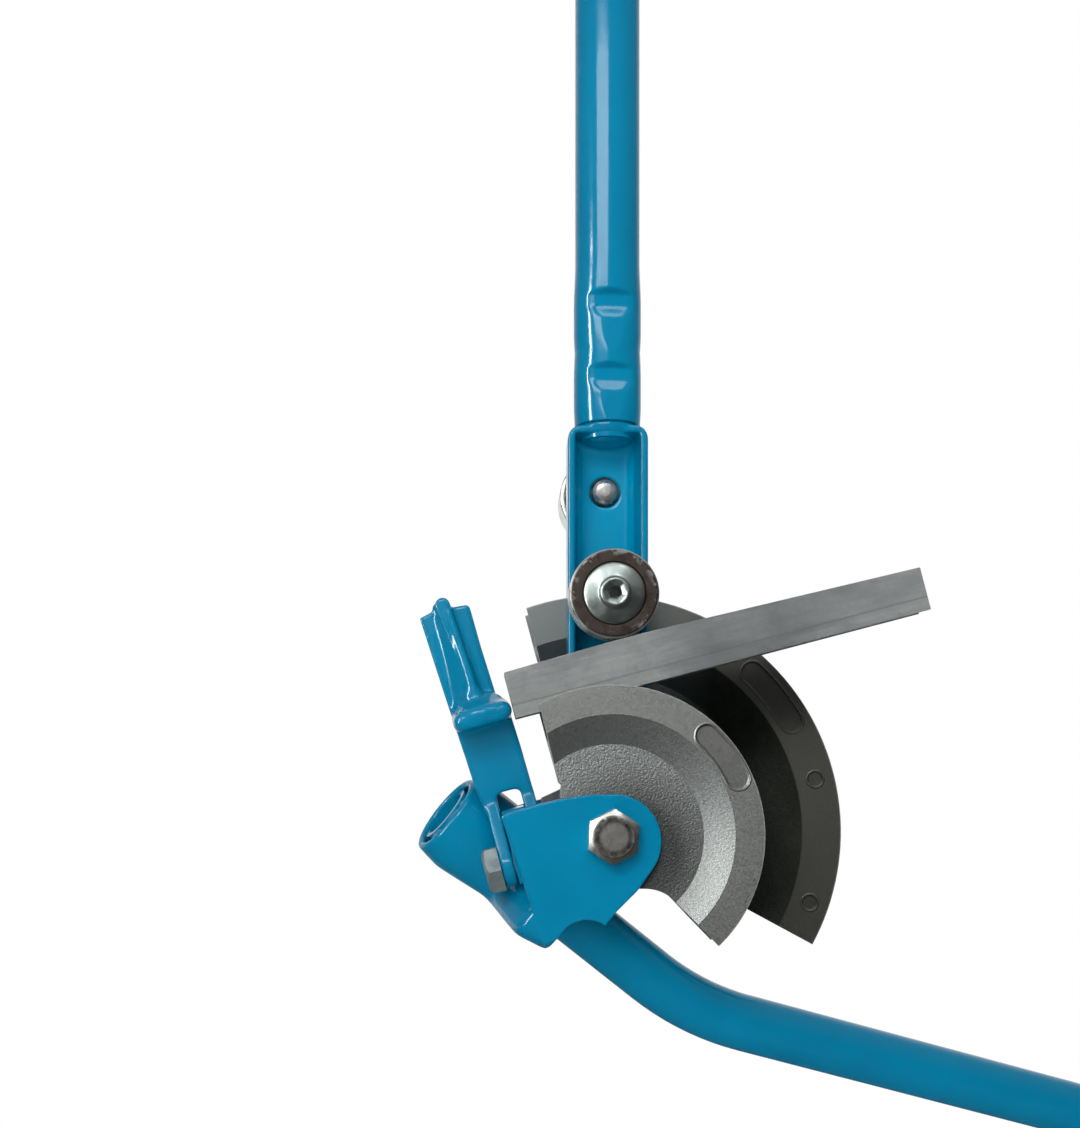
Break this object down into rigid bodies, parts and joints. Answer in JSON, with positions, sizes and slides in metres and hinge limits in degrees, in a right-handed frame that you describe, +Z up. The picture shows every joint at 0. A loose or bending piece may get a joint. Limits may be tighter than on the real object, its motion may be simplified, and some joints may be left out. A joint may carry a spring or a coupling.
{
  "type": "tube bender",
  "caption": "Two-former hand tube bender: grooved cast formers on a cranked handle, a long lever with rollers, a guide bar and a swing hook.",
  "frame": {"origin": "on the axis of the lower handle tube, in the middle of the held stretch of its straight lower arm", "axes": "+Z up along the upright lever, +X to the right as seen from the small former, +Y from the small former towards the large one"},
  "size_m": [0.2941, 0.1104, 0.6608],
  "materials": {
    "blue": "gloss",
    "blue_cast": "gloss",
    "zinc": "satin",
    "bolt": "satin",
    "steel": "satin",
    "cast": "satin",
    "cast_dark": "satin",
    "bronze": "satin",
    "cap": "matte",
    "roller": "satin",
    "guide": "satin"
  },
  "bodies": {
    "frame": {"handle_tube": "blue", "bracket_front": "blue", "bracket_rear": "blue", "hook_lug": "blue", "former_15": "cast", "former_22": "cast_dark", "former_pins": "steel", "pivot_bolt": "bolt", "pivot_washer": "zinc", "pivot_nut": "zinc"},
    "bend": {"pivot_bush": "bronze"},
    "lever": {"lever_boss": "blue", "lever_channel": "blue", "lever_spigot": "blue", "lever_tube": "blue", "lever_cap": "cap", "near_boss": "blue", "near_screw": "zinc", "far_axle": "steel", "far_spacer": "zinc"},
    "near_roller": {"near_roller": "roller", "near_bush": "bronze"},
    "far_roller": {"far_roller": "roller"},
    "guide": {"guide_15": "guide"},
    "hook": {"hook": "blue_cast", "hook_bolt": "zinc"}
  },
  "joints": [
    {"name": "bend_swing", "type": "hinge", "parent": "frame", "child": "bend", "pos_m": [-0.1436, -0.04587, 0.10608], "axis": [0, 1, 0], "range_deg": [0, 105]},
    {"name": "lever_open", "type": "hinge", "parent": "bend", "child": "lever", "pos_m": [-0.1436, -0.04587, 0.10608], "axis": [0, 1, 0], "range_deg": [-18, 0]},
    {"name": "near_roller_spin", "type": "hinge", "parent": "lever", "child": "near_roller", "pos_m": [-0.1428, -0.06838, 0.19903], "axis": [0, 1, 0], "range_deg": [0, 297.9]},
    {"name": "far_roller_spin", "type": "hinge", "parent": "lever", "child": "far_roller", "pos_m": [-0.1436, -0.01937, 0.24528], "axis": [0, 1, 0], "continuous": true},
    {"name": "guide_slide", "type": "slide", "parent": "bend", "child": "guide", "axis": [-0.9673, 0, -0.2538], "range_m": [0, 0.09]},
    {"name": "hook_swing", "type": "hinge", "parent": "frame", "child": "hook", "pos_m": [-0.17642, -0.06427, 0.09561], "axis": [0.9673, 0, 0.2538], "range_deg": [0, 25]}
  ],
  "couplings": [
    {"joint": "guide_slide", "follows": "bend_swing", "m_per_rad": 0.049},
    {"joint": "near_roller_spin", "follows": "bend_swing", "ratio": 2.8324}
  ]
}
